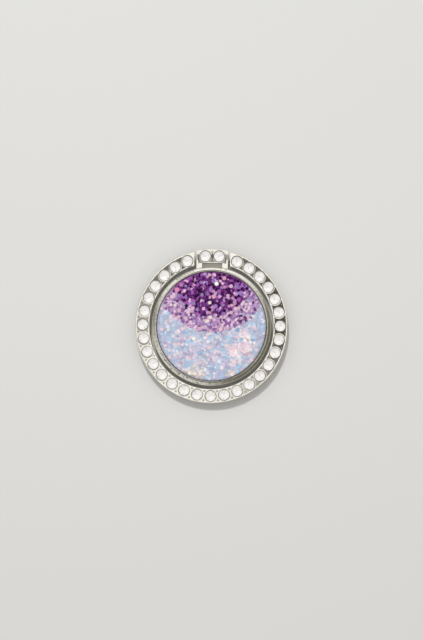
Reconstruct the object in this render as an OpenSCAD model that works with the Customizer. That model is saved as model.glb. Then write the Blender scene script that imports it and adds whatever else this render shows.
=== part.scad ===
// Folding phone ring grip: a rhinestone finger ring hinged on a turning disc of glitter
// under a clear dome. The origin is the middle of the adhesive face, on the swivel's axis.
// +Z points away from the phone and +Y towards the hinge. Lengths are in millimetres.

/* [Finger ring] */
// Width of the finger ring over its outer wall
ring_d = 39.8; // [38:0.2:44]
// Straight run in each side of the ring, by which it is longer than it is wide
ring_run = 0.5; // [0.2:0.1:1]
// Width of the band, from its inner wall to its outer wall
band_w = 3.75; // [3.6:0.05:4.4]
// Thickness of the band
band_t = 2.6; // [2.4:0.1:3.2]
// Rounding of the band's long edges
band_round = 0.2; // [0.1:0.05:0.35]
// Gap between each end of the ring and the hinge block
end_gap = 0.6; // [0.3:0.05:0.7]
// Metal left between an end of the ring and its first stone's seat
end_land = 0.28; // [0.2:0.02:0.5]
// Gap at each side between the ring and the disc inside it
ring_gap = 0.5; // [0.4:0.05:0.9]
// Height of the disc's underside above the band's underside
band_drop = 0.75; // [0.5:0.05:0.9]

/* [Rhinestones] */
// Stones in the finger ring
ring_stones = 29; // [24:1:30]
// Diameter of a stone across its girdle
stone_d = 2.8; // [2.5:0.05:2.95]
// Clearance between a stone's girdle and its seat, on the radius
seat_clear = 0.12; // [0.06:0.02:0.16]
// Metal left outside the seats, up to the band's outer wall
outer_rim = 0.4; // [0.25:0.05:0.45]
// Height of the crown, from girdle to table
crown_h = 0.42; // [0.3:0.02:0.6]
// Thickness of the girdle
girdle_t = 0.08; // [0.04:0.01:0.15]
// Width of a stone's table as a share of its diameter
table_share = 0.58; // [0.5:0.01:0.65]
// Width of a stone's blunt point as a share of its diameter
culet_share = 0.12; // [0.05:0.01:0.16]
// Depth of the foiled point below the girdle
pavilion_h = 0.9; // [0.7:0.05:0.95]
// How far a girdle sits below the top of its collar
stone_sink = 0.15; // [0.05:0.05:0.2]
// Width of the plain rim on each side of the field between the collars
field_rim = 0.4; // [0.3:0.05:0.45]
// Depth of the field that is cast between the collars
field_depth = 0.35; // [0.2:0.05:0.5]
// Thickness of the collar round a seat
collar_t = 0.2; // [0.16:0.02:0.3]
// Diameter of the beads cast in the field
bead_d = 0.5; // [0.3:0.05:0.6]

/* [Hinge] */
// Width of the hinge block
block_w = 8.2; // [8:0.1:8.8]
// Metal left outside the block's seats, up to its outer wall
block_rim = 0.2; // [0.1:0.05:0.3]
// How far the block is rooted in the bezel's wall
block_root = 0.2; // [0.1:0.05:0.3]
// Distance between the two stones of the block
block_pitch = 3.6; // [3.5:0.05:3.8]
// Diameter of the hinge pin
pin_d = 1; // [0.8:0.05:1.1]
// How far the pin's axis lies inside the middles of the block's stones
pin_inset = 1; // [0.95:0.05:1.1]
// How far the pin's axis lies below the middle of the band
pin_drop = 0.3; // [0.25:0.05:0.4]
// Depth of the pin's hole in each end of the ring
pin_bite = 1.35; // [1:0.05:1.5]
// Running clearance of the pin in the friction sleeve, on the radius
pin_clear = 0.02; // [0.01:0.01:0.04]
// Wall of the friction sleeve
sleeve_wall = 0.2; // [0.15:0.01:0.24]
// Width of the slit along the friction sleeve
sleeve_slit = 0.35; // [0.2:0.05:0.6]
// Distance from each side of the block to the friction sleeve
sleeve_inset = 0.4; // [0.2:0.1:1]
// Width of the pocket between the block's stones and the bezel
pocket_w = 5.3; // [4:0.1:5.6]
// Wall of the bezel left in front of that pocket
pocket_wall = 0.8; // [0.7:0.05:0.9]
// Depth of that pocket
pocket_depth = 0.8; // [0.4:0.1:0.9]

/* [Disc] */
// Thickness of the disc's floor
floor_t = 0.7; // [0.6:0.05:1]
// Height of the bezel, from the disc's underside to its rim
bezel_h = 2.3; // [2.1:0.05:2.8]
// Wall of the bezel
bezel_wall = 1.2; // [1.1:0.05:1.4]
// Angle by which the bezel's top slopes down towards its outer edge
bezel_slope = 16; // [8:1:20]
// Rounding of the bezel's outer edge
bezel_round = 0.35; // [0.2:0.05:0.5]
// Distance from the bezel's inner wall to the groove in its top
lip_w = 0.26; // [0.2:0.02:0.3]
// Width of the groove in the bezel's top
lip_groove = 0.16; // [0.1:0.02:0.2]

/* [Glitter and dome] */
// Thickness of the glitter bed
bed_t = 1.1; // [0.8:0.1:1.2]
// Clearance between the resin and the bezel's inner wall
resin_clear = 0.2; // [0.1:0.02:0.24]
// Height of the clear dome above its own edge
dome_h = 1.2; // [0.6:0.1:2]
// How far the dome's edge lies below the rim
dome_sink = 0.15; // [0.1:0.05:0.3]
// Radius of the violet field's round edge
violet_r = 10; // [7:0.5:11]
// Radius of the lilac field's round edge
lilac_r = 14.4; // [12.5:0.5:16]
// Distance from the disc's middle to the centre of both round edges
field_y = 12.6; // [11:0.5:14]

/* [Base] */
// Thickness of the adhesive foam pad
pad_t = 0.7; // [0.5:0.1:1.2]
// How far the pad's edge lies inside the base plate's
pad_inset = 0.2; // [0.1:0.1:1]
// Thickness of the base plate
plate_t = 1.6; // [1.5:0.05:2.2]
// How far the base plate's edge lies inside the bezel's
plate_inset = 0.5; // [0.3:0.1:1.5]
// Web of the base plate left above its recess
plate_web = 0.55; // [0.45:0.05:0.7]
// Chamfer round the base plate's upper edge
plate_chamfer = 0.3; // [0.1:0.05:0.5]
// Radius of the recess under the base plate
recess_r = 4.4; // [4.2:0.1:6]
// Thickness of the slip washer
slip_t = 0.2; // [0.1:0.05:0.4]
// Radius of the slip washer
slip_r = 12.5; // [8:0.5:14]
// Running gap between the slip washer and the disc
swivel_gap = 0.05; // [0.03:0.01:0.1]

/* [Swivel rivet] */
// Radius of the rivet's shank
shank_r = 1.6; // [1.3:0.1:1.8]
// Radius of the bore through the rivet
rivet_bore_r = 0.9; // [0.5:0.1:1]
// Radius of the rivet's head
head_r = 2.7; // [2.4:0.1:3.4]
// Thickness of the rivet's head
head_t = 0.35; // [0.2:0.05:0.4]
// Radius of the rolled tail
tail_r = 2.4; // [2.1:0.1:2.8]
// Thickness of the rolled tail
tail_t = 0.2; // [0.15:0.01:0.25]
// Gap between the rivet's tail and the pad
tail_gap = 0.1; // [0.05:0.05:0.2]
// Running clearance of the shank in the base plate, on the radius
shank_clear = 0.06; // [0.03:0.01:0.1]
// Radius of the wave washer and of the flat washer under it
washer_r = 3.9; // [3.4:0.1:4.1]
// Thickness of the flat washer
washer_t = 0.22; // [0.15:0.01:0.25]
// Sheet thickness of the wave washer
wave_t = 0.12; // [0.08:0.01:0.15]
// Waves round the wave washer
waves = 3; // [2:1:4]
// Gap between the crests of the waves and the base plate
wave_gap = 0.03; // [0.02:0.01:0.05]

/* [Hidden] */
$fn = 96;
// Overlap of shapes that are joined
lap = 0.01;
// How far a cutting shape runs past what it cuts
cut = 1;

ring_r = ring_d / 2;
ring_in_r = ring_r - band_w;
seat_r = stone_d / 2 + seat_clear;
stone_ring_r = ring_r - outer_rim - seat_r;
half_run = ring_run / 2;
block_stone_y = half_run + sqrt(pow(ring_r, 2) - pow(block_pitch / 2, 2)) - block_rim - seat_r;
end_x = block_w / 2 + end_gap;
end_seat_x = end_x + end_land + seat_r;
first_angle = asin(end_seat_x / stone_ring_r);
stone_step = (360 - 2 * first_angle) / (ring_stones - 1);
collar_r = seat_r + collar_t;

bezel_r = ring_in_r - ring_gap;
tray_r = bezel_r - bezel_wall;
block_in_r = bezel_r - block_root;
pocket_in_r = tray_r + pocket_wall;
plate_r = bezel_r - plate_inset;
pad_r = plate_r - pad_inset;
resin_r = tray_r - resin_clear;

plate_z = pad_t;
plate_top = plate_z + plate_t;
recess_top = plate_top - plate_web;
slip_top = plate_top + slip_t;
frame_z = slip_top + swivel_gap;
floor_top = frame_z + floor_t;
rim_z = frame_z + bezel_h;
bezel_edge_r = bezel_r - bezel_round;
bezel_edge_z = rim_z - (bezel_round + (bezel_wall - bezel_round) * sin(bezel_slope)) / cos(bezel_slope);
bed_top = floor_top + bed_t;
dome_edge_z = rim_z - dome_sink;

band_z = frame_z - band_drop;
band_top = band_z + band_t;
girdle_z = band_top - stone_sink;
table_r = table_share * stone_d / 2;
culet_r = culet_share * stone_d / 2;
field_in_r = ring_in_r + field_rim;
field_out_r = ring_r - field_rim;
bead_reach = (field_out_r - field_in_r - bead_d) / 2;

hinge_y = block_stone_y - pin_inset;
hinge_z = band_z + band_t / 2 - pin_drop;
sleeve_bore_r = pin_d / 2 + pin_clear;
sleeve_r = sleeve_bore_r + sleeve_wall;
sleeve_l = block_w - 2 * sleeve_inset;
pin_l = 2 * (end_x + pin_bite);
pin_chamfer = pin_d / 10;

head_z = floor_top - head_t;
tail_z = plate_z + tail_gap;
washer_z = tail_z + tail_t;
wave_z = washer_z + washer_t;
wave_rise = (recess_top - wave_gap - wave_z - wave_t) / 2;
wave_steps = 24 * waves;

metal = [0.86, 0.84, 0.8];
steel = [0.72, 0.72, 0.74];

function two_digits(i) = str(i < 10 ? "0" : "", i);
function ring_stone_name(i) = str("ring_stone_", two_digits(i));
function ring_stone_angle(i) = 90 - first_angle - (i - 1) * stone_step;

// A flat washer between two radii
module washer(outer, inner, height) {
    difference() {
        cylinder(r = outer, h = height);
        translate([0, 0, -cut])
            cylinder(r = inner, h = height + 2 * cut);
    }
}

// The waste outside a rounded corner whose tip is at the origin and which lies towards -x and -y
module corner_waste(radius) {
    difference() {
        translate([-radius, -radius])
            square(radius + lap);
        translate([-radius, -radius])
            circle(r = radius);
    }
}

// Points of a regular polygon at one height
function polygon_ring(sides, radius, height) =
    [for (k = [0 : sides - 1]) [radius * cos(360 * k / sides), radius * sin(360 * k / sides), height]];

// A foil-backed round stone with its girdle's lower edge at the origin: a hull round its corners
module rhinestone() {
    points = concat(
        polygon_ring(8, table_r, girdle_t + crown_h),
        polygon_ring(16, stone_d / 2, girdle_t),
        polygon_ring(16, stone_d / 2, 0),
        polygon_ring(8, culet_r, -pavilion_h)
    );
    color("white")
        hull()
            polyhedron(points = points, faces = [[for (k = [0 : len(points) - 1]) k]]);
}

// The space that a stone takes in the casting, open at the top
module stone_seat() {
    cylinder(r = seat_r, h = stone_sink + crown_h);
    translate([0, 0, -pavilion_h])
        cylinder(r1 = culet_r + seat_clear, r2 = seat_r, h = pavilion_h + lap);
}

// Its children on the line of the ring's stones, turned to face outwards
module on_stone_line(angle) {
    translate([stone_ring_r * cos(angle), (stone_ring_r + half_run) * sin(angle), 0])
        rotate([0, 0, angle])
            children();
}

module at_ring_stone(i) {
    on_stone_line(ring_stone_angle(i))
        translate([0, 0, girdle_z])
            children();
}

module at_block_stone(side) {
    translate([side * block_pitch / 2, block_stone_y, girdle_z])
        rotate([0, 0, 90])
            children();
}

// The round wall that stands in the field about one seat
module collar() {
    translate([0, 0, stone_sink - field_depth - cut])
        cylinder(r = collar_r, h = field_depth + 2 * cut);
}

module bead() {
    translate([0, 0, -field_depth])
        sphere(d = bead_d, $fn = 24);
}

module band_section() {
    difference() {
        translate([ring_in_r, band_z])
            square([band_w, band_t]);
        translate([ring_r, band_top])
            corner_waste(band_round);
        translate([ring_in_r, band_top])
            mirror([1, 0])
                corner_waste(band_round);
        translate([ring_r, band_z])
            mirror([0, 1])
                corner_waste(band_round);
        translate([ring_in_r, band_z])
            mirror([1, 0])
                mirror([0, 1])
                    corner_waste(band_round);
    }
}

// A section carried round the finger ring: half a turn at each end and a straight run at each side
module round_the_ring() {
    for (side = [0, 1]) {
        rotate([0, 0, 180 * side])
            translate([0, half_run, 0])
                rotate_extrude(angle = 180)
                    children();
        rotate([0, 0, 180 * side])
            translate([0, half_run, 0])
                rotate([90, 0, 0])
                    linear_extrude(ring_run)
                        children();
    }
}

// The space between two plane sides, each at a distance from the middle, that leaves the ring open
module ring_opening(reach) {
    translate([-reach, 0, band_z - cut])
        cube([2 * reach, ring_r + cut, band_t + 2 * cut]);
}

// The lowered field round the collars, from the first stone to the last
module ring_field() {
    difference() {
        translate([0, 0, band_top - field_depth])
            round_the_ring()
                translate([field_in_r, 0])
                    square([field_out_r - field_in_r, field_depth + cut / 2]);
        ring_opening(end_seat_x);
        for (i = [1 : ring_stones])
            at_ring_stone(i)
                collar();
    }
}

// Two beads between a pair of stones, one to each side of their line
module field_beads() {
    for (side = [-1, 1])
        translate([side * bead_reach, 0, band_top])
            bead();
}

module finger_ring() {
    color(metal)
        difference() {
            union() {
                difference() {
                    round_the_ring()
                        band_section();
                    ring_opening(end_x);
                    ring_field();
                }
                for (i = [1 : ring_stones - 1])
                    on_stone_line(ring_stone_angle(i) - stone_step / 2)
                        field_beads();
            }
            for (i = [1 : ring_stones])
                at_ring_stone(i)
                    stone_seat();
            translate([-pin_l / 2, hinge_y, hinge_z])
                rotate([0, 90, 0])
                    cylinder(d = pin_d, h = pin_l);
        }
}

module ring_stone(i) {
    at_ring_stone(i)
        rhinestone();
}

module block_stone(side) {
    at_block_stone(side)
        rhinestone();
}

// The waste above the bezel's slope and outside its round outer edge
module bezel_waste() {
    translate([tray_r, rim_z])
        rotate(-bezel_slope)
            square([bezel_wall + cut, cut]);
    difference() {
        translate([bezel_edge_r + bezel_round * sin(bezel_slope), bezel_edge_z])
            square([bezel_round + cut, bezel_h]);
        translate([bezel_edge_r, bezel_edge_z])
            circle(r = bezel_round);
    }
}

// The disc's bezel and floor, turned about the swivel's axis
module disc_section() {
    difference() {
        translate([0, frame_z])
            square([bezel_r, bezel_h]);
        translate([-cut, floor_top])
            square([tray_r + cut, bezel_h]);
        bezel_waste();
        translate([tray_r + lip_w, rim_z - lip_w * tan(bezel_slope)])
            circle(d = lip_groove, $fn = 16);
    }
}

// The block's outline seen from above, taken in by a margin on its three free sides
module block_outline(margin) {
    intersection() {
        translate([0, half_run])
            circle(r = ring_r - margin);
        translate([margin - block_w / 2, 0])
            square([block_w - 2 * margin, ring_r + cut]);
    }
}

// The lowered field round the block's two collars
module block_field() {
    difference() {
        translate([0, 0, band_top - field_depth])
            linear_extrude(field_depth + cut / 2)
                difference() {
                    block_outline(field_rim);
                    circle(r = block_stone_y - seat_r);
                }
        for (side = [-1, 1])
            at_block_stone(side)
                collar();
    }
}

module hinge_block() {
    difference() {
        translate([0, 0, band_z])
            linear_extrude(band_t)
                difference() {
                    block_outline(0);
                    circle(r = block_in_r);
                }
        block_field();
    }
    translate([0, block_stone_y, 0])
        rotate([0, 0, 90])
            field_beads();
}

// The pocket between the block's stones and the bezel
module block_pocket() {
    translate([0, 0, band_top - pocket_depth])
        linear_extrude(pocket_depth + cut)
            difference() {
                translate([-pocket_w / 2, 0])
                    square([pocket_w, block_stone_y - collar_r]);
                circle(r = pocket_in_r);
            }
}

module swivel_disc() {
    color(metal)
        difference() {
            union() {
                rotate_extrude()
                    disc_section();
                hinge_block();
            }
            block_pocket();
            for (side = [-1, 1])
                at_block_stone(side)
                    stone_seat();
            translate([-block_w / 2 - cut, hinge_y, hinge_z])
                rotate([0, 90, 0])
                    cylinder(r = sleeve_r, h = block_w + 2 * cut);
            translate([0, 0, frame_z - cut])
                cylinder(r = shank_r, h = floor_t + 2 * cut);
            translate([0, 0, head_z])
                cylinder(r = head_r, h = head_t + cut);
        }
}

// A split spring tube that grips the pin inside the block
module friction_sleeve() {
    color(steel)
        translate([-sleeve_l / 2, hinge_y, hinge_z])
            rotate([0, 90, 0])
                difference() {
                    washer(sleeve_r, sleeve_bore_r, sleeve_l);
                    translate([0, -sleeve_slit / 2, -cut])
                        cube([sleeve_r + cut, sleeve_slit, sleeve_l + 2 * cut]);
                }
}

module hinge_pin() {
    color(steel)
        translate([-pin_l / 2, hinge_y, hinge_z])
            rotate([0, 90, 0]) {
                cylinder(d1 = pin_d - 2 * pin_chamfer, d2 = pin_d, h = pin_chamfer);
                translate([0, 0, pin_chamfer])
                    cylinder(d = pin_d, h = pin_l - 2 * pin_chamfer);
                translate([0, 0, pin_l - pin_chamfer])
                    cylinder(d1 = pin_d, d2 = pin_d - 2 * pin_chamfer, h = pin_chamfer);
            }
}

// One field of the glitter bed: what lies inside one round edge and outside another
module glitter_field(inside_r, outside_r) {
    translate([0, 0, floor_top])
        linear_extrude(bed_t)
            difference() {
                intersection() {
                    circle(r = resin_r);
                    translate([0, field_y])
                        circle(r = inside_r);
                }
                if (outside_r > 0)
                    translate([0, field_y])
                        circle(r = outside_r);
            }
}

module violet_glitter() {
    color("indigo")
        glitter_field(violet_r, 0);
}

module lilac_glitter() {
    color("plum")
        glitter_field(lilac_r, violet_r);
}

module ice_glitter() {
    color("lightsteelblue")
        glitter_field(field_y + 2 * resin_r, lilac_r);
}

// The clear resin over the glitter: a short wall under a shallow crown
module clear_dome() {
    crown_r = (resin_r * resin_r + dome_h * dome_h) / (2 * dome_h);
    color("white", 0.3)
        rotate_extrude()
            intersection() {
                translate([0, bed_top])
                    square([resin_r, dome_edge_z + dome_h - bed_top + cut]);
                translate([0, dome_edge_z + dome_h - crown_r])
                    circle(r = crown_r, $fn = 720);
            }
}

module adhesive_pad() {
    color("dimgray")
        cylinder(r = pad_r, h = pad_t);
}

module base_plate() {
    color(steel)
        difference() {
            union() {
                translate([0, 0, plate_z])
                    cylinder(r = plate_r, h = plate_t - plate_chamfer);
                translate([0, 0, plate_top - plate_chamfer])
                    cylinder(r1 = plate_r, r2 = plate_r - plate_chamfer, h = plate_chamfer);
            }
            translate([0, 0, plate_z - cut])
                cylinder(r = recess_r, h = recess_top - plate_z + cut);
            translate([0, 0, plate_z])
                cylinder(r = shank_r + shank_clear, h = plate_t + cut);
        }
}

module slip_washer() {
    color("whitesmoke")
        translate([0, 0, plate_top])
            washer(slip_r, shank_r + shank_clear, slip_t);
}

// A hollow rivet that hangs the base plate under the disc, and on which it turns
module swivel_rivet() {
    color(steel)
        difference() {
            union() {
                translate([0, 0, head_z])
                    cylinder(r = head_r, h = head_t);
                translate([0, 0, tail_z])
                    cylinder(r = shank_r, h = head_z - tail_z + lap);
                translate([0, 0, tail_z])
                    cylinder(r = tail_r, h = tail_t);
            }
            translate([0, 0, tail_z - cut])
                cylinder(r = rivet_bore_r, h = floor_top - tail_z + 2 * cut);
        }
}

module flat_washer() {
    color(steel)
        translate([0, 0, washer_z])
            washer(washer_r, shank_r, washer_t);
}

// Height of the wave washer's lower face at one of its steps
function wave_height(k) = wave_z + wave_rise * (1 + cos(360 * waves * k / wave_steps));

function wave_point(k, radius, lift) =
    [radius * cos(360 * k / wave_steps), radius * sin(360 * k / wave_steps), wave_height(k) + lift];

// Each step has four points: inside and outside below, then outside and inside above
module wave_washer() {
    inner = shank_r + shank_clear;
    points = [
        for (k = [0 : wave_steps - 1])
            each [wave_point(k, inner, 0), wave_point(k, washer_r, 0),
                  wave_point(k, washer_r, wave_t), wave_point(k, inner, wave_t)]
    ];
    faces = [
        for (k = [0 : wave_steps - 1])
            for (side = [0 : 3])
                let (
                    here = 4 * k,
                    next = 4 * ((k + 1) % wave_steps),
                    other = (side + 1) % 4
                )
                each [
                    [here + side, here + other, next + other],
                    [here + side, next + other, next + side]
                ]
    ];
    color(steel)
        polyhedron(points = points, faces = faces);
}

adhesive_pad();
base_plate();
slip_washer();
swivel_rivet();
flat_washer();
wave_washer();
swivel_disc();
friction_sleeve();
hinge_pin();
finger_ring();
violet_glitter();
lilac_glitter();
ice_glitter();
clear_dome();
block_stone(-1);  // block_stone_left
block_stone(1);  // block_stone_right
for (i = [1 : ring_stones])
    ring_stone(i);
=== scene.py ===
import math
import random

import bpy
import numpy as np
from mathutils import Euler, Matrix, Vector, noise


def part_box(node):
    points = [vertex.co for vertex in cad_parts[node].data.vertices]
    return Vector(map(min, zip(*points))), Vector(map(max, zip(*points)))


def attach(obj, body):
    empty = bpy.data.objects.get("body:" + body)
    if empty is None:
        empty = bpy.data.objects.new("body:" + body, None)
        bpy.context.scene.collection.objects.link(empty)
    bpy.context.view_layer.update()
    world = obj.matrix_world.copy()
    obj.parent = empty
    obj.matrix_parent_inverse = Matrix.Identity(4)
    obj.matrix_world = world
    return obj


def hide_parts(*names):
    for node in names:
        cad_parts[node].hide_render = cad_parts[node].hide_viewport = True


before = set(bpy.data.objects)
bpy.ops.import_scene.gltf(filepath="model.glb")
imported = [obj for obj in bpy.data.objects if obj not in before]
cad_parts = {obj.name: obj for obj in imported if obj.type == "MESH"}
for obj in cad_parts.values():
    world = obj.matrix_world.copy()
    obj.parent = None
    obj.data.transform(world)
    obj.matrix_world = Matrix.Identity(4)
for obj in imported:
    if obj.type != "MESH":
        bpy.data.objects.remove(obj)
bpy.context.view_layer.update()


# Adhesive pad
# A die-cut disc of dark closed-cell foam with glue on both faces. It holds the grip to a phone,
# and its cut edge is drawn in a little between the two faces.

MM = 0.001
spin_steps = 144
smooth_angle = math.radians(35)


def in_scene(name, data):
    """A new object in the scene, from a mesh or from a lamp's or camera's data."""
    obj = bpy.data.objects.new(name, data)
    bpy.context.scene.collection.objects.link(obj)
    return obj


def take_up(obj):
    """Leaves one object selected and active."""
    bpy.ops.object.select_all(action="DESELECT")
    obj.select_set(True)
    bpy.context.view_layer.objects.active = obj


def spun(name, section):
    """A section of (radius, height) points in millimetres, spun about the swivel's axis. A last edge
    closes it, unless it starts on the axis."""
    points = [(r * MM, 0, z * MM) for r, z in section]
    last = len(points) - 1
    edges = [(k, k + 1) for k in range(last)]
    if section[0][0] > 0:
        edges.append((last, 0))
    mesh = bpy.data.meshes.new(name)
    mesh.from_pydata(points, edges, [])
    obj = in_scene(name, mesh)
    take_up(obj)
    bpy.ops.object.mode_set(mode="EDIT")
    bpy.ops.mesh.select_all(action="SELECT")
    bpy.ops.mesh.spin(steps=spin_steps, angle=math.tau, center=(0, 0, 0), axis=(0, 0, 1))
    bpy.ops.mesh.select_all(action="SELECT")
    bpy.ops.mesh.remove_doubles(threshold=0.001 * MM)
    bpy.ops.mesh.normals_make_consistent(inside=False)
    bpy.ops.object.mode_set(mode="OBJECT")
    bpy.ops.object.shade_smooth_by_angle(angle=smooth_angle)
    return obj


def plain_material(name, colour, roughness, metallic=0.0):
    """A material with its nodes laid out, and its Principled shader."""
    material = bpy.data.materials.new(name)
    material.use_nodes = True
    shader = material.node_tree.nodes["Principled BSDF"]
    shader.inputs["Base Color"].default_value = (*colour, 1)
    shader.inputs["Roughness"].default_value = roughness
    shader.inputs["Metallic"].default_value = metallic
    return material, shader


def node_in(tree, kind, settings=None, **inputs):
    """A new node: its settings first, then its inputs by name or _number, as values or links."""
    node = tree.nodes.new("ShaderNode" + kind)
    for setting, value in (settings or {}).items():
        setattr(node, setting, value)
    for label, value in inputs.items():
        socket = node.inputs[int(label[1:])] if label[0] == "_" else node.inputs[label]
        if isinstance(value, bpy.types.NodeSocket):
            tree.links.new(value, socket)
        else:
            socket.default_value = value
    return node


def ranged(tree, value, low, high, to_low=0.0, to_high=1.0):
    """A value carried from one range to another, and held at its ends."""
    return node_in(tree, "MapRange", None, _0=value, _1=low, _2=high, _3=to_low, _4=to_high).outputs[0]


def mixed(tree, share, first, second):
    """A colour between two others."""
    return node_in(tree, "Mix", {"data_type": "RGBA"}, _0=share, _6=first, _7=second).outputs[2]


def object_coordinates(tree):
    """The place on a piece, in metres."""
    return node_in(tree, "TexCoord").outputs["Object"]


def dress(obj, body, material, slot, *replaced):
    """Gives a finished piece its material and its body, and hides the CAD nodes it stands for. Its slot
    is not used.
    """
    obj.data.materials.clear()
    obj.data.materials.append(material)
    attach(obj, body)
    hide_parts(*replaced)


pad_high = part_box("adhesive_pad")[1]
pad_r = pad_high.x / MM
pad_t = pad_high.z / MM
pad_waist = 0.12
pad_steps = 8
pad_side = [(pad_r - pad_waist * math.sin(math.pi * k / pad_steps), pad_t * k / pad_steps)
            for k in range(pad_steps + 1)]
pad = spun("foam_pad", [(0, 0), *pad_side, (0, pad_t)])

foam, foam_shader = plain_material("black_foam", (0.05, 0.05, 0.055), 0.85)
foam_tree = foam.node_tree
foam_cells = node_in(foam_tree, "TexVoronoi", None, Vector=object_coordinates(foam_tree), Scale=6000)
foam_tone = mixed(foam_tree, ranged(foam_tree, foam_cells.outputs["Distance"], 0.0, 0.6),
                  (0.03, 0.03, 0.034, 1), (0.09, 0.09, 0.095, 1))
foam_bump = node_in(foam_tree, "Bump", None, Height=foam_cells.outputs["Distance"], Strength=0.5,
                    Distance=0.05 * MM)
foam_tree.links.new(foam_tone, foam_shader.inputs["Base Color"])
foam_tree.links.new(foam_bump.outputs["Normal"], foam_shader.inputs["Normal"])
dress(pad, "base", foam, "pad_foam", "adhesive_pad")


# Base plate and slip washer
# A turned and plated steel plate that stays still on the phone, and a thin white plastic washer
# that lies on it, so that the disc turns smoothly.

def arc(centre_r, centre_z, radius, start, end, steps):
    """Points of a round corner in a section, from one angle in degrees to another."""
    turns = [math.radians(start + (end - start) * k / steps) for k in range(steps + 1)]
    return [(centre_r + radius * math.cos(t), centre_z + radius * math.sin(t)) for t in turns]


def maths(tree, operation, *values):
    """One operation on a value, or on several values in turn."""
    result = values[0]
    for value in values[1:] or (0.0,):
        result = node_in(tree, "Math", {"operation": operation}, _0=result, _1=value).outputs[0]
    return result


def flat_length(tree, x, y):
    """Length of a line on the flat, from its two parts."""
    line = node_in(tree, "CombineXYZ", None, X=x, Y=y)
    return node_in(tree, "VectorMath", {"operation": "LENGTH"}, _0=line.outputs[0]).outputs["Value"]


def node_group(name, takes, gives):
    """A shader node group with its sockets by name and kind, and its input and output nodes."""
    group = bpy.data.node_groups.new(name, "ShaderNodeTree")
    for side, sockets in (("INPUT", takes), ("OUTPUT", gives)):
        for label, kind in sockets.items():
            group.interface.new_socket(label, in_out=side, socket_type="NodeSocket" + kind)
    return group, group.nodes.new("NodeGroupInput"), group.nodes.new("NodeGroupOutput")


plate_low, plate_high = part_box("base_plate")
plate_r = plate_high.x / MM
plate_z = plate_low.z / MM
plate_top = plate_high.z / MM
plate_hole_r = 1.66
plate_web = 0.55
plate_round = 0.08
plate_chamfer = 0.3
recess_r = 4.4
recess_top = plate_top - plate_web
plate = spun("turned_base_plate", [
    (recess_r, plate_z), *arc(plate_r - plate_round, plate_z + plate_round, plate_round, -90, 0, 4),
    (plate_r, plate_top - plate_chamfer), (plate_r - plate_chamfer, plate_top),
    (plate_hole_r, plate_top), (plate_hole_r, recess_top), (recess_r, recess_top)])

# Turning marks: fine rings round the middle, with a little unevenness between them
turned, turned_in, turned_out = node_group(
    "turning_marks", {"Scale": "Float"}, {"Roughness": "Float", "Height": "Float"})
turned_xyz = node_in(turned, "SeparateXYZ", None, _0=object_coordinates(turned))
turned_r = flat_length(turned, turned_xyz.outputs["X"], turned_xyz.outputs["Y"])
turned_noise = node_in(turned, "TexNoise", {"noise_dimensions": "1D"},
                       W=maths(turned, "ADD", turned_r, turned_xyz.outputs["Z"]),
                       Scale=turned_in.outputs["Scale"], Detail=2.0)
turned_rough = ranged(turned, turned_noise.outputs["Fac"], 0.3, 0.7, 0.22, 0.42)
turned.links.new(turned_rough, turned_out.inputs["Roughness"])
turned.links.new(turned_noise.outputs["Fac"], turned_out.inputs["Height"])


def turned_metal(name, colour, scale):
    """Bright steel with turning marks of its own pitch."""
    material, shader = plain_material(name, colour, 0.3, 1.0)
    tree = material.node_tree
    marks = node_in(tree, "Group", {"node_tree": turned}, Scale=scale)
    bump = node_in(tree, "Bump", None, Height=marks.outputs["Height"], Strength=0.3, Distance=0.02 * MM)
    tree.links.new(marks.outputs["Roughness"], shader.inputs["Roughness"])
    tree.links.new(bump.outputs["Normal"], shader.inputs["Normal"])
    return material


plate_steel = turned_metal("turned_plate_steel", (0.74, 0.73, 0.7), 9000)
dress(plate, "base", plate_steel, "plate_steel", "base_plate")

slip_low, slip_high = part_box("slip_washer")
slip_r = slip_high.x / MM
slip_z = slip_low.z / MM
slip_top = slip_high.z / MM
slip = spun("white_slip_washer", [(plate_hole_r, slip_z), (slip_r, slip_z), (slip_r, slip_top),
                                  (plate_hole_r, slip_top)])
white_sheet, white_shader = plain_material("white_plastic_sheet", (0.86, 0.86, 0.84), 0.45)
white_tree = white_sheet.node_tree
white_noise = node_in(white_tree, "TexNoise", None, Vector=object_coordinates(white_tree), Scale=1500,
                      Detail=3.0)
white_rough = ranged(white_tree, white_noise.outputs["Fac"], 0.0, 1.0, 0.38, 0.52)
white_tree.links.new(white_rough, white_shader.inputs["Roughness"])
dress(slip, "base", white_sheet, "slip_plastic", "slip_washer")


# Rivet and washers
# A hollow steel rivet joins the disc to the base plate, with a flat washer and a wave washer under
# its rolled tail. They are hidden when the grip is together.

rivet_steel = turned_metal("plated_rivet_steel", (0.72, 0.72, 0.74), 14000)
strip_steel = turned_metal("bright_strip_steel", (0.62, 0.62, 0.64), 20000)


def finish_node(name, material):
    """Gives a CAD node that is shown as it is its own finish."""
    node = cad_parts[name]
    node.data.materials.clear()
    node.data.materials.append(material)


finish_node("swivel_rivet", rivet_steel)
finish_node("flat_washer", strip_steel)
finish_node("wave_washer", strip_steel)


# Swivel disc
# One casting in zinc alloy, plated a warm silver: a round tray with a bezel, and the hinge block on
# its rim with two stone seats. The lip that the dome meets is rounded.

def merged_copy(node, name):
    """A copy of a CAD node with its mesh merged and its stored normals cleared."""
    obj = in_scene(name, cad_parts[node].data.copy())
    take_up(obj)
    bpy.ops.mesh.customdata_custom_splitnormals_clear()
    bpy.ops.object.mode_set(mode="EDIT")
    bpy.ops.mesh.select_all(action="SELECT")
    bpy.ops.mesh.remove_doubles(threshold=0.0005 * MM)
    bpy.ops.object.mode_set(mode="OBJECT")
    return obj


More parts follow.
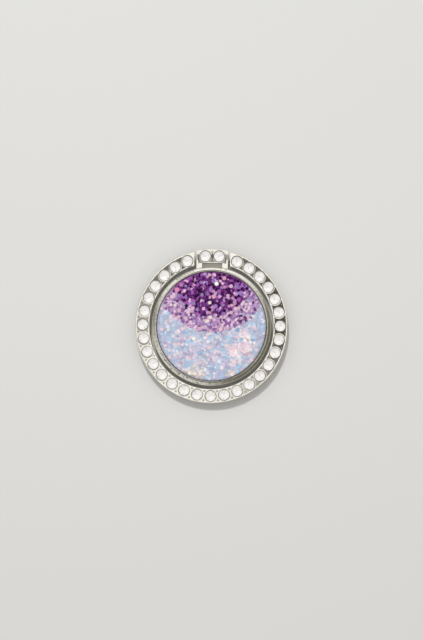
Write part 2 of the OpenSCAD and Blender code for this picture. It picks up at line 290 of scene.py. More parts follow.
def cast_copy(node, name):
    """A merged copy of a cast CAD node, with its slivers cleared and its flat faces joined."""
    obj = merged_copy(node, name)
    bpy.ops.object.mode_set(mode="EDIT")
    bpy.ops.mesh.select_all(action="SELECT")
    bpy.ops.mesh.dissolve_degenerate(threshold=0.006 * MM)
    bpy.ops.mesh.select_all(action="SELECT")
    bpy.ops.mesh.dissolve_limited(angle_limit=math.radians(0.5))
    bpy.ops.object.mode_set(mode="OBJECT")
    bpy.ops.object.shade_smooth_by_angle(angle=smooth_angle)
    return obj


# The plated casting: a slight ripple, fine rubbing, a faint random mottle, and painted shade, a dark
# colour on rougher metal, by a share given for each place
cast, cast_in, cast_out = node_group(
    "plated_casting", {"Bright": "Color", "Deep": "Color", "Depth": "Float"},
    {"Color": "Color", "Roughness": "Float", "Height": "Float"})
cast_place = object_coordinates(cast)
cast_cloud = node_in(cast, "TexNoise", None, Vector=cast_place, Scale=260, Detail=4.0)
cast_rub = node_in(cast, "TexNoise", None, Vector=cast_place, Scale=2200, Detail=3.0)
cast_mottle = node_in(cast, "TexNoise", None, Vector=cast_place, Scale=1100, Detail=3.0)
# Share of the painted shade colour, with a faint random mottle
shade_and_mottle_share = maths(cast, "MAXIMUM", cast_in.outputs["Depth"],
                   ranged(cast, cast_mottle.outputs["Fac"], 0.45, 0.7, 0.0, 0.08))
cast_tone = mixed(cast, shade_and_mottle_share, cast_in.outputs["Bright"], cast_in.outputs["Deep"])
cast_rough = maths(cast, "ADD", ranged(cast, cast_cloud.outputs["Fac"], 0.3, 0.7, 0.09, 0.19),
                   maths(cast, "MULTIPLY", cast_in.outputs["Depth"], 0.45))
cast_relief = maths(cast, "MULTIPLY", cast_rub.outputs["Fac"],
                    ranged(cast, cast_cloud.outputs["Fac"], 0.35, 0.65, 0.4, 1.0))
cast.links.new(cast_tone, cast_out.inputs["Color"])
cast.links.new(cast_rough, cast_out.inputs["Roughness"])
cast.links.new(cast_relief, cast_out.inputs["Height"])


def plated_casting(name, bright, shade_colour, painted_shade_of):
    """Plated metal with painted shade; the last argument gives its share on a place, from 0 to 1, where
    the metal is also rougher.
    """
    material, shader = plain_material(name, bright[:3], 0.2, 1.0)
    tree = material.node_tree
    xyz = node_in(tree, "SeparateXYZ", None, _0=object_coordinates(tree))
    finish = node_in(tree, "Group", {"node_tree": cast}, Bright=bright, Deep=shade_colour,
                     Depth=painted_shade_of(tree, xyz))
    bump = node_in(tree, "Bump", None, Height=finish.outputs["Height"], Strength=0.32, Distance=0.07 * MM)
    tree.links.new(finish.outputs["Color"], shader.inputs["Base Color"])
    tree.links.new(finish.outputs["Roughness"], shader.inputs["Roughness"])
    tree.links.new(bump.outputs["Normal"], shader.inputs["Normal"])
    return material


# Sizes of the two castings in metres, which is what Object coordinates are in
half_run = 0.25 * MM
band_out = 19.9 * MM
band_foot = 1.8 * MM
band_top = 4.4 * MM
tray_r = 14.45 * MM
rim_top = 4.85 * MM
seat_r = 1.52 * MM
block_stone_x = 1.8 * MM
block_stone_y = 18.348 * MM
block_pocket_out = 17.35 * MM
block_rim_in = 18.9 * MM


def reach_of(tree, xyz):
    """How far along the outline's straight run the middle of a half turn lies."""
    return maths(tree, "MAXIMUM", maths(tree, "MINIMUM", xyz.outputs["Y"], half_run), -half_run)


def oval_radius(tree, xyz):
    """Distance from the short line between the middles of the outline's two half turns."""
    across = maths(tree, "SUBTRACT", xyz.outputs["Y"], reach_of(tree, xyz))
    return flat_length(tree, xyz.outputs["X"], across)


def upper_part(tree, xyz):
    """1 from the stones' points upwards, and 0 in the lower part of a casting."""
    return ranged(tree, xyz.outputs["Z"], band_top - 1.4 * MM, band_top - 1.2 * MM)


def slant_shade(tree, xyz, low, high):
    """How much painted shade lies by a slant across the piece, as the light falls: low at the lower left,
    high at the upper right.
    """
    slant = maths(tree, "ADD", maths(tree, "MULTIPLY", xyz.outputs["X"], 0.55),
                  maths(tree, "MULTIPLY", xyz.outputs["Y"], 0.83))
    return ranged(tree, slant, -16 * MM, 8 * MM, low, high)


def seat_shade(tree, xyz, along, across):
    """Above 0 inside a stone's seat and on the inner edge of its collar, where shade is painted."""
    in_seat = ranged(tree, flat_length(tree, along, across), seat_r + 0.09 * MM, seat_r + 0.04 * MM)
    return maths(tree, "MULTIPLY", in_seat, upper_part(tree, xyz), slant_shade(tree, xyz, 0.5, 0.8))


def disc_painted_shade(tree, xyz):
    """Painted shade on the disc: on its outer walls, the block's field, pocket, seats, cheeks and middle,
    and the tray's wall, with dark specks of painted reflection in the bezel, most of them at the lower
    left."""
    z = xyz.outputs["Z"]
    r = oval_radius(tree, xyz)
    beside = maths(tree, "ABSOLUTE", xyz.outputs["X"])
    beyond = maths(tree, "SUBTRACT", xyz.outputs["Y"], block_stone_y)

    # Painted shade in the block's lowered field, less of it towards the pocket
    lowered = ranged(tree, z, band_top - 0.02 * MM, band_top - 0.28 * MM)
    past_pocket = ranged(tree, r, block_pocket_out - 0.15 * MM, block_pocket_out + 0.15 * MM, 0.6, 0.85)
    before_rim = ranged(tree, r, block_rim_in - 0.15 * MM, block_rim_in + 0.15 * MM, 1.0, 0.15)
    field = maths(tree, "MULTIPLY", lowered, past_pocket, before_rim)

    # Painted shade on the walls in the gap round the disc, stronger in the field and further down
    off_bezel = ranged(tree, r, tray_r + 0.6 * MM, tray_r + 0.7 * MM)
    behind_face = ranged(tree, r, band_out - 0.1 * MM, band_out - 0.2 * MM)
    above_foot = ranged(tree, z, band_foot + 0.06 * MM, band_foot + 0.2 * MM)
    far_down = ranged(tree, z, band_top - 0.85 * MM, band_top - 1.2 * MM, 0.0, 0.5)
    outside = maths(tree, "MULTIPLY", off_bezel, behind_face, above_foot,
                    maths(tree, "MAXIMUM", field, far_down))

    # Painted shade on the tray's wall under the lip
    at_tray_wall = ranged(tree, r, tray_r + 0.04 * MM, tray_r + 0.01 * MM)
    under_lip = ranged(tree, z, rim_top - 0.01 * MM, rim_top - 0.07 * MM)
    inside = maths(tree, "MULTIPLY", at_tray_wall, under_lip)

    # Painted shade in the block's seats, between its stones and in its cheeks
    seats = seat_shade(tree, xyz, maths(tree, "SUBTRACT", beside, block_stone_x), beyond)
    middle = maths(tree, "MULTIPLY", ranged(tree, beside, 0.4 * MM, 0.3 * MM),
                   ranged(tree, maths(tree, "ABSOLUTE", beyond), 0.5 * MM, 0.35 * MM, 0.0, 0.75))
    cheeks = maths(tree, "MULTIPLY", ranged(tree, beside, 3.3 * MM, 3.5 * MM),
                   ranged(tree, beyond, 0.7 * MM, 0.45 * MM),
                   ranged(tree, beyond, -1.1 * MM, -0.85 * MM, 0.0, 0.5))
    block = maths(tree, "MULTIPLY", maths(tree, "MAXIMUM", middle, cheeks), upper_part(tree, xyz))

    # Dark specks painted on the bezel for speckled reflection, most of them at the lower left
    speck_noise = node_in(tree, "TexNoise", None, Vector=object_coordinates(tree), Scale=1500, Detail=1.0)
    painted_specks = maths(tree, "MULTIPLY", ranged(tree, speck_noise.outputs["Fac"], 0.5, 0.62, 0.0, 0.7),
                 slant_shade(tree, xyz, 1.0, 0.0),
                 ranged(tree, r, tray_r + 0.08 * MM, tray_r + 0.16 * MM),
                 ranged(tree, r, tray_r + 0.85 * MM, tray_r + 0.65 * MM))
    return maths(tree, "MAXIMUM", outside, inside, painted_specks, seats, block)


def on_lip(place):
    """Whether a place is on the inner edge of the bezel's top."""
    return abs(math.hypot(place.x, place.y) - tray_r) < 0.005 * MM and place.z > rim_top - 0.01 * MM


warm_silver = (0.95, 0.93, 0.86, 1)
# Colour of the painted shade in gaps, hollows and stone seats, and towards the upper right
painted_shade_silver = (0.05, 0.045, 0.03, 1)
disc_metal = plated_casting("warm_silver_disc", warm_silver, painted_shade_silver, disc_painted_shade)
disc = cast_copy("swivel_disc", "cast_swivel_disc")
bpy.ops.object.mode_set(mode="EDIT")
bpy.ops.mesh.select_mode(type="EDGE")
bpy.ops.mesh.select_all(action="DESELECT")
bpy.ops.object.mode_set(mode="OBJECT")
for edge in disc.data.edges:
    edge.select = all(on_lip(disc.data.vertices[v].co) for v in edge.vertices)
bpy.ops.object.mode_set(mode="EDIT")
bpy.ops.mesh.bevel(offset=0.04 * MM, segments=2, affect="EDGES")
bpy.ops.object.mode_set(mode="OBJECT")
bpy.ops.object.shade_smooth_by_angle(angle=smooth_angle)
dress(disc, "disc", disc_metal, "disc_metal", "swivel_disc")


# Hinge pin and friction sleeve
# A ground steel pin pressed into both ends of the ring, and a split spring tube in the block that
# grips it, so that the ring stays at any angle.

pin_steel = turned_metal("ground_pin_steel", (0.8, 0.8, 0.8), 12000)
pin_low, pin_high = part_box("hinge_pin")
pin_centre = (pin_low + pin_high) / 2
bpy.ops.object.select_all(action="DESELECT")
bpy.ops.mesh.primitive_cylinder_add(vertices=48, radius=(pin_high.z - pin_low.z) / 2,
                                    depth=pin_high.x - pin_low.x, location=pin_centre,
                                    rotation=(0, math.pi / 2, 0))
pin = bpy.context.object
pin.name = "ground_hinge_pin"
bpy.ops.object.transform_apply(location=True, rotation=True, scale=True)
pin_bevel = pin.modifiers.new("pin_chamfer", "BEVEL")
pin_bevel.width = 0.1 * MM
pin_bevel.segments = 2
pin_bevel.limit_method = "ANGLE"
bpy.ops.object.modifier_apply(modifier=pin_bevel.name)
bpy.ops.object.shade_smooth_by_angle(angle=smooth_angle)
dress(pin, "ring", pin_steel, "pin_steel", "hinge_pin")
finish_node("friction_sleeve", strip_steel)


# Finger ring
# One casting, open at the hinge, plated like the disc. Its face has a lowered field with a raised
# collar round each stone and two small beads between each pair of stones.

band_in = 16.15 * MM
collar_field_in = 16.55 * MM
collar_field_out = 19.5 * MM
stone_line_r = 17.98 * MM
stone_step = math.radians(11.344)


def ring_painted_shade(tree, xyz):
    """Painted shade on the ring: the field between the collars, most of all at the upper right, the
    stones' seats, and a little of the inner wall."""
    z = xyz.outputs["Z"]
    r = oval_radius(tree, xyz)

    # Painted shade in the lowered field between the collars
    off_inner_rim = ranged(tree, r, collar_field_in - 0.05 * MM, collar_field_in + 0.03 * MM)
    off_outer_rim = ranged(tree, r, collar_field_out + 0.05 * MM, collar_field_out - 0.02 * MM)
    lowered = ranged(tree, z, band_top - 0.01 * MM, band_top - 0.28 * MM)
    field = maths(tree, "MULTIPLY", off_inner_rim, off_outer_rim, lowered, upper_part(tree, xyz),
                  slant_shade(tree, xyz, 0.08, 0.88))

    # Painted shade on the inner wall, in the gap round the disc
    at_inner_wall = ranged(tree, r, band_in + 0.25 * MM, band_in + 0.1 * MM)
    under_face = ranged(tree, z, band_top - 0.1 * MM, band_top - 0.5 * MM)
    above_foot = ranged(tree, z, band_foot + 0.1 * MM, band_foot + 0.6 * MM, 0.0, 0.35)
    wall = maths(tree, "MULTIPLY", at_inner_wall, under_face, above_foot)

    # Painted shade in each stone's seat
    turn = maths(tree, "ARCTAN2", xyz.outputs["X"],
                 maths(tree, "SUBTRACT", reach_of(tree, xyz), xyz.outputs["Y"]))
    steps = maths(tree, "DIVIDE", turn, stone_step)
    from_stone = maths(tree, "SUBTRACT", steps, maths(tree, "ROUND", steps))
    seats = seat_shade(tree, xyz, maths(tree, "MULTIPLY", from_stone, stone_step, stone_line_r),
                      maths(tree, "SUBTRACT", r, stone_line_r))
    return maths(tree, "MAXIMUM", field, wall, seats)


ring_metal = plated_casting("warm_silver_ring", warm_silver, painted_shade_silver, ring_painted_shade)
ring = cast_copy("finger_ring", "cast_finger_ring")
dress(ring, "ring", ring_metal, "ring_metal", "finger_ring")


# Rhinestones
# Round brilliants pressed from clear glass, each with a mirror foil on its pointed back, which
# throws light back out through the facets. Each is glued in its seat.

stone_r = 1.4
table_r = 0.812
crown_h = 0.42
girdle_t = 0.08
point_r = 0.168
point_h = 0.9
# Rings of corners from the table down: how many, radius, height, and turn in degrees
stone_corners = [
    (8, table_r, girdle_t + crown_h, 22.5), (8, 0.8 * stone_r, girdle_t + 0.58 * crown_h, 0),
    (16, stone_r, girdle_t, 0), (16, stone_r, 0, 0), (16, 0.98, -0.35, 11.25), (8, 0.52, -0.68, 0),
    (8, point_r, -point_h, 22.5),
]
# Foil tints, one drawn at random for each facet: lighter and darker painted reflections in the facets
facet_reflection_tints = [
    (1, 0.995, 0.985), (1, 0.975, 0.92), (0.88, 0.86, 0.92), (1, 0.995, 0.985), (1, 0.99, 0.97),
    (0.78, 0.73, 0.7),
]


def brilliant():
    """One stone as the convex hull of its corners, with a painted reflection tint for each facet."""
    corners = []
    for sides, level_r, level_z, turn in stone_corners:
        for k in range(sides):
            a = math.radians(turn + 360 * k / sides)
            corners.append((level_r * math.cos(a) * MM, level_r * math.sin(a) * MM, level_z * MM))
    mesh = bpy.data.meshes.new("brilliant")
    mesh.from_pydata(corners, [], [])
    obj = in_scene("brilliant", mesh)
    take_up(obj)
    bpy.ops.object.mode_set(mode="EDIT")
    bpy.ops.mesh.select_all(action="SELECT")
    bpy.ops.mesh.convex_hull()
    bpy.ops.object.mode_set(mode="OBJECT")
    chance = random.Random(5)
    facets = obj.data.color_attributes.new("facet_reflection_tint", "FLOAT_COLOR", "CORNER")
    for face in obj.data.polygons:
        tint = chance.choice(facet_reflection_tints)
        for corner in face.loop_indices:
            facets.data[corner].color = (*tint, 1.0)
    return obj


def lit_through(material, shader):
    """Lets light reach what lies behind a clear material, which the camera still sees as glass."""
    tree = material.node_tree
    path = node_in(tree, "LightPath")
    mix = node_in(tree, "MixShader", None, _0=path.outputs["Is Camera Ray"])
    tree.links.new(node_in(tree, "BsdfTransparent").outputs[0], mix.inputs[1])
    tree.links.new(shader.outputs[0], mix.inputs[2])
    tree.links.new(mix.outputs[0], tree.nodes["Material Output"].inputs["Surface"])


def tint_from(material, shader, attribute):
    """Colours a material by a colour attribute of the mesh."""
    tint = node_in(material.node_tree, "VertexColor", {"layer_name": attribute})
    material.node_tree.links.new(tint.outputs["Color"], shader.inputs["Base Color"])


clear_glass, glass_shader = plain_material("clear_glass", (1, 1, 1), 0.0)
glass_shader.inputs["Transmission Weight"].default_value = 1.0
glass_shader.inputs["IOR"].default_value = 1.54
lit_through(clear_glass, glass_shader)
foil, foil_shader = plain_material("mirror_foil", (0.98, 0.975, 0.98), 0.14, 0.12)
tint_from(foil, foil_shader, "facet_reflection_tint")

cut_stone = brilliant()
cut_stone.data.materials.append(clear_glass)
cut_stone.data.materials.append(foil)
for face in cut_stone.data.polygons:
    face.material_index = 1 if face.normal.z < -0.1 else 0

stone_top = (girdle_t + crown_h) * MM
stone_lean = math.radians(2)
stone_chance = random.Random(31)
stone_nodes = [("block_stone_left", "disc"), ("block_stone_right", "disc")]
stone_nodes += [(name, "ring") for name in sorted(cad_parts) if name.startswith("ring_stone_")]
for name, body in stone_nodes:
    low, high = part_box(name)
    middle = (low + high) / 2
    stone = cut_stone.copy()
    stone.data = cut_stone.data.copy()
    stone.name = name.replace("stone", "brilliant")
    bpy.context.scene.collection.objects.link(stone)
    turn = Matrix.Rotation(stone_chance.uniform(0, math.tau), 4, "Z")
    tilt = Euler((stone_chance.uniform(-stone_lean, stone_lean),
                  stone_chance.uniform(-stone_lean, stone_lean), 0)).to_matrix().to_4x4()
    place = Matrix.Translation((middle.x, middle.y, high.z - stone_top))
    stone.data.transform(place @ tilt @ turn)
    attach(stone, body)
    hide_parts(name)
bpy.data.objects.remove(cut_stone)


# Glitter
# Three mixes of glitter in clear resin, poured side by side in the tray: dark violet under the
# hinge, lilac below it and pale ice blue over the rest, each with fine and coarse six-sided flakes.

glitter_r = 14.23
bed_top = 4.35
ground_top = bed_top - 0.35
flake_t = 0.02
# The round edge of each mix, as its radius about a place near the hinge
field_y = 12.6
field_edges = {"violet": 10.0, "lilac": 14.4, "ice": 60.0}
field_slots = {"violet": "violet_resin", "lilac": "lilac_resin", "ice": "ice_resin"}
field_ground = {"violet": (0.3, 0.11, 0.34), "lilac": (0.46, 0.32, 0.55), "ice": (0.5, 0.5, 0.64)}
# Fine flakes: how bright they are, how bright their rims are against that, as painted edge highlight and
# edge shade, and their radius
field_light = {"violet": 1.06, "lilac": 1.05, "ice": 1.2}
fine_rim_shading = {"violet": 2.2, "lilac": 1.2, "ice": 0.86}
fine_size = {"violet": 0.46, "lilac": 0.4, "ice": 0.52}
fine_spread = (0.75, 1.2)
light_spread = (0.85, 1.12)
coarse_share = 0.5
coarse_size = (0.4, 0.56)
# Coarse flakes' rims are painted darker, as edge shade
coarse_rim_shading = 0.86
# Tints with their shares
fine_tints = {
    "plum": [((0.026, 0.002, 0.036), 46), ((0.06, 0.007, 0.08), 34), ((0.13, 0.024, 0.17), 16),
             ((0.34, 0.1, 0.4), 4)],
    "violet": [((0.14, 0.03, 0.19), 30), ((0.34, 0.1, 0.4), 22), ((0.07, 0.01, 0.09), 14),
               ((0.3, 0.17, 0.5), 16), ((0.56, 0.34, 0.66), 8), ((0.86, 0.42, 0.68), 13)],
    "lilac": [((0.52, 0.34, 0.58), 24), ((0.3, 0.13, 0.36), 22), ((0.4, 0.26, 0.54), 16),
              ((0.8, 0.58, 0.74), 20), ((0.14, 0.04, 0.17), 14), ((0.46, 0.55, 0.73), 4)],
    "blue": [((0.4, 0.56, 0.74), 30), ((0.47, 0.57, 0.73), 26), ((0.5, 0.5, 0.66), 18),
             ((0.66, 0.66, 0.76), 14), ((0.34, 0.42, 0.62), 4), ((0.84, 0.66, 0.74), 2)],
    "mauve": [((0.45, 0.43, 0.6), 26), ((0.58, 0.54, 0.69), 26), ((0.7, 0.64, 0.74), 20),
              ((0.45, 0.54, 0.71), 16), ((0.82, 0.64, 0.72), 6)],
    "rose": [((0.92, 0.68, 0.76), 34), ((0.8, 0.62, 0.72), 20), ((0.62, 0.58, 0.71), 22),
             ((0.92, 0.8, 0.8), 16), ((0.64, 0.46, 0.48), 5)],
    "cream": [((0.86, 0.78, 0.66), 20), ((0.62, 0.6, 0.62), 24), ((0.5, 0.48, 0.42), 10),
              ((0.8, 0.66, 0.7), 16), ((0.48, 0.56, 0.7), 20)],
}
coarse_tints = {
    "violet": [((0.6, 0.3, 0.5), 5), ((0.34, 0.24, 0.5), 4), ((0.13, 0.03, 0.15), 5)],
    "lilac": [((0.78, 0.5, 0.64), 6), ((0.82, 0.7, 0.8), 3), ((0.5, 0.34, 0.58), 5)],
    "ice": [((0.88, 0.7, 0.78), 4), ((0.8, 0.76, 0.82), 7), ((0.42, 0.56, 0.77), 4),
            ((0.6, 0.56, 0.72), 4)],
}
# Warmer patches in the ice field: middle, radius and kind, in millimetres
patches = [
    (6.6, -6.2, 2.0, "rose"), (9.2, -5.4, 1.7, "rose"), (8.8, -2.2, 1.5, "rose"),
    (6.0, -9.4, 1.2, "rose"), (-3.8, -12.4, 2.4, "cream"), (5.0, -12.9, 1.6, "cream"),
]
# The largest flakes, which lie on top: place and radius in millimetres, tint
large_flakes = [
    (1.2, 11.1, 0.62, (0.97, 0.95, 0.93)), (9.6, -2.7, 0.6, (0.97, 0.95, 0.93)),
    (-4.6, -3.3, 0.58, (0.96, 0.93, 0.94)), (-0.3, 2.3, 0.52, (0.93, 0.8, 0.8)),
    (-1.0, 1.3, 0.5, (0.95, 0.82, 0.76)), (0.5, 7.7, 0.6, (0.8, 0.4, 0.56)),
    (3.2, 12.6, 0.62, (0.76, 0.34, 0.56)), (-3.1, -0.7, 0.58, (0.76, 0.46, 0.66)),
    (-0.5, 6.1, 0.5, (0.9, 0.72, 0.76)), (6.2, 4.6, 0.6, (0.84, 0.56, 0.68)),
    (5.0, 3.6, 0.5, (0.78, 0.5, 0.64)), (-9.1, 9.4, 0.7, (0.78, 0.3, 0.5)),
    (-10.4, 7.6, 0.55, (0.84, 0.6, 0.72)), (2.4, -0.8, 0.56, (0.84, 0.6, 0.7)),
    (-10.8, -8.2, 0.58, (0.86, 0.64, 0.7)), (-8.5, -4.7, 0.5, (0.86, 0.64, 0.72)),
    (6.0, -9.2, 0.62, (0.92, 0.76, 0.8)), (11.2, -4.2, 0.4, (0.96, 0.95, 0.95)),
    (6.8, -0.9, 0.6, (0.3, 0.46, 0.72)), (-4.2, -12.4, 0.6, (0.93, 0.86, 0.72)),
    (-3.6, -11.1, 0.55, (0.9, 0.74, 0.72)), (-0.6, -5.6, 0.55, (0.86, 0.68, 0.76)),
    (-1.0, -7.4, 0.5, (0.88, 0.72, 0.78)), (2.0, -6.6, 0.5, (0.8, 0.72, 0.8)),
    (-6.2, 3.6, 0.5, (0.84, 0.62, 0.74)), (4.2, 8.0, 0.5, (0.76, 0.46, 0.62)),
    (8.6, 8.8, 0.45, (0.8, 0.5, 0.66)),
]


def drift(x, y, pitch, seed):
    """A smooth random value of about -1 to 1 that changes over the bed."""
    return noise.noise(Vector((x / pitch, y / pitch, seed))) * 1.6


def field_of(x, y):
    """The field that a place lies in; the borders are ragged."""
    distance = math.hypot(x, y - field_y) + 0.55 * drift(x, y, 1.3, 3.0)
    return next(field for field, outside in field_edges.items() if distance < outside)


def mix_of(field, x, y):
    """The mix of fine flakes at a place: the violet field has darker clumps, the ice field patches."""
    if field == "violet":
        return fine_tints["plum" if drift(x, y, 0.9, 11.0) > -0.02 else "violet"]
    if field == "lilac":
        return fine_tints["lilac"]
    for patch_x, patch_y, patch_r, kind in patches:
        if math.hypot(x - patch_x, y - patch_y) < patch_r * (1 + 0.35 * drift(x, y, 1.6, 9.0)):
            return fine_tints[kind]
    return fine_tints["blue" if drift(x, y, 2.2, 5.0) > -0.05 else "mauve"]


def pick(chance, weighted):
    """One tint, drawn by the shares."""
    return chance.choices([tint for tint, share in weighted], [share for tint, share in weighted])[0]


def flake_mesh():
    """One six-sided flake of radius 1, its upper face inset, as vertices, triangles and rim marks."""
    bpy.ops.object.select_all(action="DESELECT")
    bpy.ops.mesh.primitive_cylinder_add(vertices=6, radius=1, depth=1)
    flake = bpy.context.object
    bpy.ops.object.mode_set(mode="EDIT")
    bpy.ops.mesh.select_mode(type="FACE")
    bpy.ops.object.mode_set(mode="OBJECT")
    for face in flake.data.polygons:
        face.select = face.normal.z > 0.9
    bpy.ops.object.mode_set(mode="EDIT")
    bpy.ops.mesh.inset(thickness=0.22)
    bpy.ops.mesh.select_all(action="SELECT")
    bpy.ops.mesh.quads_convert_to_tris()
    bpy.ops.object.mode_set(mode="OBJECT")
    corners = np.array([v.co for v in flake.data.vertices])
    faces = np.array([list(p.vertices) for p in flake.data.polygons])
    bpy.data.objects.remove(flake)
    return corners, faces, np.hypot(corners[:, 0], corners[:, 1]) > 0.95


def scatter(chance, pitch, margin, low, high, tilt):
    """Places for flakes on a loose sunflower spiral: position in millimetres, and lean."""
    count = int((glitter_r / pitch) ** 2 * math.pi)
    golden = math.pi * (3 - math.sqrt(5))
    reach = glitter_r - margin
    stray = pitch * 0.3
    places = []
    for k in range(count):
        r = reach * math.sqrt((k + 0.5) / count)
        x = r * math.cos(k * golden) + chance.gauss(0, stray)
        y = r * math.sin(k * golden) + chance.gauss(0, stray)
        lean = Euler((chance.gauss(0, tilt), chance.gauss(0, tilt), chance.uniform(0, math.tau)))
        if math.hypot(x, y) < reach:
            places.append((x, y, chance.uniform(low, high), lean))
    return places


glitter_chance = random.Random(7)
flakes = {field: [] for field in field_edges}
for x, y, z, lean in scatter(glitter_chance, pitch=0.52, margin=0.4, low=bed_top - 0.32,
                             high=bed_top - 0.13, tilt=math.radians(3.5)):
    field = field_of(x, y)
    size = min(fine_size[field] * glitter_chance.uniform(*fine_spread), glitter_r - math.hypot(x, y))
    tint = pick(glitter_chance, mix_of(field, x, y))
    light = field_light[field] * glitter_chance.uniform(*light_spread)
    flakes[field].append((x, y, z, size, lean, [min(1, c * light) for c in tint], fine_rim_shading[field]))
for x, y, z, lean in scatter(glitter_chance, pitch=1.7, margin=0.62, low=bed_top - 0.1,
                             high=bed_top - 0.08, tilt=math.radians(2)):
    if glitter_chance.random() < coarse_share:
        field = field_of(x, y)
        size = glitter_chance.uniform(*coarse_size)
        tint = pick(glitter_chance, coarse_tints[field])
        flakes[field].append((x, y, z, size, lean, tint, coarse_rim_shading))
for x, y, size, tint in large_flakes:
    lean = Euler((glitter_chance.gauss(0, 0.02), glitter_chance.gauss(0, 0.02),
                  glitter_chance.uniform(0, 1)))
    flakes[field_of(x, y)].append((x, y, bed_top - 0.05, size, lean, tint, coarse_rim_shading))

flake_corners, flake_faces, flake_rims = flake_mesh()


def flake_cloud(name, found):
    """All the flakes of one field as one mesh, with each flake's tint on its corners and painted edge
    light and shade on its rim.
    """
    points, triangles, tints = [], [], []
    for n, (x, y, z, size, lean, tint, rim) in enumerate(found):
        shape = flake_corners * (size, size, flake_t)
        points.append((shape @ np.array(lean.to_matrix()).T + (x, y, z)) * MM)
        triangles.append(flake_faces + n * len(flake_corners))
        shaded_rim_tint = [min(1, c * rim) for c in tint]
        tints += [(*shaded_rim_tint, 1.0) if edge else (*tint, 1.0) for edge in flake_rims]
    mesh = bpy.data.meshes.new(name)
    mesh.from_pydata(np.concatenate(points).tolist(), [], np.concatenate(triangles).tolist())
    colour = mesh.color_attributes.new("tint", "FLOAT_COLOR", "POINT")
    colour.data.foreach_set("color", np.array(tints, dtype=np.float32).ravel())
    return in_scene(name, mesh)


def ground_finish(name, colour):
    """The clouded resin that shows between the flakes."""
    material, shader = plain_material(name, colour, 0.4)
    shader.inputs["Specular IOR Level"].default_value = 0.04
    tree = material.node_tree
    cloud = node_in(tree, "TexNoise", None, Vector=object_coordinates(tree), Scale=1800, Detail=2.0)
    tone = mixed(tree, cloud.outputs["Fac"], (*[c * 0.6 for c in colour], 1),
                 (*[min(1, c * 1.3) for c in colour], 1))
    tree.links.new(tone, shader.inputs["Base Color"])
    return material


flake_finish, flake_shader = plain_material("glitter_flakes", (0.6, 0.6, 0.8), 0.35, 0.3)
flake_shader.inputs["Specular IOR Level"].default_value = 0.04
tint_from(flake_finish, flake_shader, "tint")

for field, found in flakes.items():
    node = field + "_glitter"
    cloud = flake_cloud(field + "_flakes", found)
    dress(cloud, "disc", flake_finish, field_slots[field])
    bed = merged_copy(node, field + "_bed")
    for vertex in bed.data.vertices:
        vertex.co.z = min(vertex.co.z, ground_top * MM)
    dress(bed, "disc", ground_finish(field + "_ground", field_ground[field]), field_slots[field], node)


# Clear dome
# Clear resin poured over the glitter until it stood up in a crown by its own skin. It is glossy,
# and lets light in to the flakes.

dome_edge_z = 4.7
dome_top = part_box("clear_dome")[1].z / MM
dome_r = 14.25
dome_h = dome_top - dome_edge_z
crown_r = (dome_r ** 2 + dome_h ** 2) / (2 * dome_h)
dome_sweep = math.degrees(math.asin(dome_r / crown_r))
dome_crown = arc(0, dome_top - crown_r, crown_r, 90 - dome_sweep, 90, 32)
# The crown ends on the axis itself, so that the dome closes there
dome_crown[-1] = (0, dome_top)
dome = spun("clear_resin_dome", [(0, bed_top), (dome_r, bed_top), *dome_crown])

resin, resin_shader = plain_material("clear_resin", (1, 1, 1), 0.02)
resin_shader.inputs["Transmission Weight"].default_value = 1.0
resin_shader.inputs["IOR"].default_value = 1.5
resin_shader.inputs["Specular Tint"].default_value = (0.12, 0.12, 0.12, 1)
lit_through(resin, resin_shader)
dress(dome, "disc", resin, "clear_resin", "clear_dome")


# Studio
# A plain pale floor under one lamp, high up towards the hinge. Metal mirrors a soft light overhead,
# a white card at the lower left and a dark band between them and the paler foot of the sky.

bpy.ops.object.select_all(action="DESELECT")
bpy.ops.mesh.primitive_circle_add(vertices=96, radius=3, fill_type="NGON", location=(0, 0, 0))
floor = bpy.context.object
floor.name = "studio_floor"
floor.data.materials.append(plain_material("pale_floor", (0.74, 0.74, 0.73), 0.7)[0])

world = bpy.data.worlds.new("studio_sky")
bpy.context.scene.world = world
world.use_nodes = True
sky = world.node_tree
sky_way = node_in(sky, "TexCoord").outputs["Generated"]


def glow(towards, low, high, strength):
    """A patch of light with a soft edge, round one direction in the sky."""
    facing = node_in(sky, "VectorMath", {"operation": "DOT_PRODUCT"}, _0=sky_way, _1=towards)
    return node_in(sky, "MapRange", {"interpolation_type": "SMOOTHSTEP"}, _0=facing.outputs["Value"],
                   _1=low, _2=high, _3=0.0, _4=strength).outputs[0]


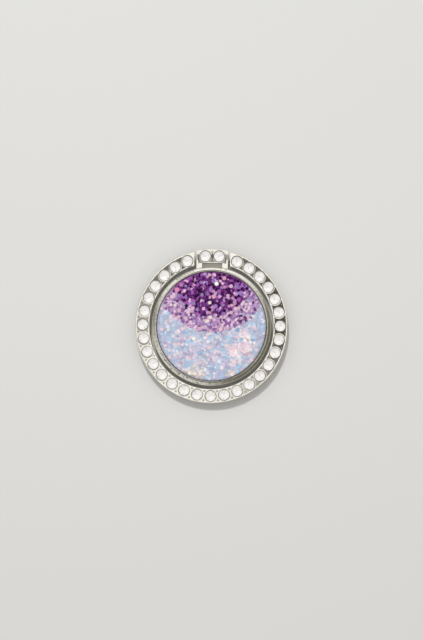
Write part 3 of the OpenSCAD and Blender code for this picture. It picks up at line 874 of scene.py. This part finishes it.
overhead = glow((-0.03, 0.31, 0.95), 0.81, 0.915, 1.0)
side_card = glow((-0.5, -0.55, 0.67), 0.72, 0.95, 0.6)
sky_share = maths(sky, "MAXIMUM", overhead, side_card)
sky_up = node_in(sky, "SeparateXYZ", None, _0=sky_way).outputs["Z"]
sky_low = mixed(sky, ranged(sky, sky_up, 0.2, 0.08), (0.42, 0.41, 0.38, 1), (0.52, 0.52, 0.51, 1))
sky_base = mixed(sky, ranged(sky, sky_up, 0.72, 0.5), (0.155, 0.145, 0.105, 1), sky_low)
sky_tone = mixed(sky, sky_share, sky_base, (1.0, 0.985, 0.95, 1))
# Matt surfaces are lit by an even sky, brighter from above
sky_even = mixed(sky, ranged(sky, sky_up, 0.2, 0.7), (0.08, 0.08, 0.077, 1), (0.74, 0.73, 0.71, 1))
sky_fill = mixed(sky, node_in(sky, "LightPath").outputs["Is Diffuse Ray"], sky_tone, sky_even)
sky.links.new(sky_fill, sky.nodes["Background"].inputs["Color"])

lamp_data = bpy.data.lights.new("key_lamp", "AREA")
lamp_data.shape = "DISK"
lamp_data.size = 0.05
lamp_data.energy = 1.58
lamp = in_scene("key_lamp", lamp_data)
lamp.location = (-0.06, 0.228, 0.565)
lamp.visible_glossy = False
lamp.visible_transmission = False
lamp.rotation_euler = Vector(lamp.location).to_track_quat("Z", "Y").to_euler()

# The camera, nearly straight above: a pixel's size, and where the disc's axis lies in the picture
picture_w, picture_h = 423, 640
pixel = 0.2616 * MM
axis_px = (211.5, 326.17)
lens, sensor = 85, 36
elevation = math.radians(87)
camera_turn = math.radians(0.7)
aim = Vector(((picture_w / 2 - axis_px[0]) * pixel, (axis_px[1] - picture_h / 2) * pixel, band_top))
back = Vector((math.sin(camera_turn) * math.cos(elevation), -math.cos(camera_turn) * math.cos(elevation),
               math.sin(elevation)))
distance = picture_h * pixel * lens / sensor
camera_data = bpy.data.cameras.new("camera")
camera_data.lens = lens
camera_data.sensor_width = sensor
camera = in_scene("camera", camera_data)
camera.location = aim + back * distance
camera.rotation_euler = back.to_track_quat("Z", "Y").to_euler()
bpy.context.scene.camera = camera
bpy.context.scene.view_settings.view_transform = "Standard"
